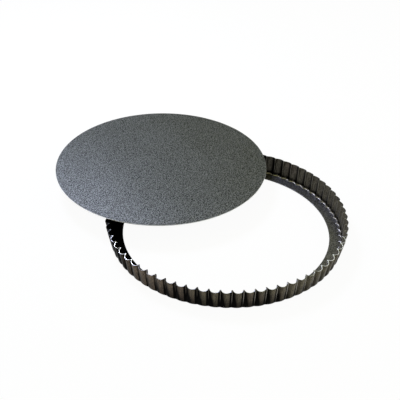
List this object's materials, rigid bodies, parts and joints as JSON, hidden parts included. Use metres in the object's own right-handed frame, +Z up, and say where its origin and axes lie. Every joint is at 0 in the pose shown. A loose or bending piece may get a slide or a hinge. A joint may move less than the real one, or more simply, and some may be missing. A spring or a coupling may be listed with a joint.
{
  "type": "loose-bottom tart pan",
  "caption": "Round tart pan: a fluted ring that leans outwards over a narrow ledge, and a flat loose bottom that lifts out, lying across the rim.",
  "frame": {"origin": "middle of the space that the ring and the bottom take up at rest, on the surface that the ring stands on", "axes": "+Z up along the ring's axis, +Y away from the viewer, the way in which the two pieces together are longest, +X to the viewer's right"},
  "size_m": [0.3498, 0.3752, 0.0262],
  "materials": {
    "ring_coating": "satin dark grey-brown non-stick coating on pressed steel, bare at the cut edges",
    "bottom_coating": "fine-pebbled grey non-stick coating on flat steel sheet, bare at the cut edge"
  },
  "bodies": {
    "ring": {"fluted_ring": "ring_coating"},
    "bottom": {"loose_bottom": "bottom_coating"}
  },
  "joints": [
    {"name": "bottom_lift", "type": "slide", "parent": "ring", "child": "bottom", "axis": [0, 0, 1], "range_m": [0, 0.12]}
  ]
}
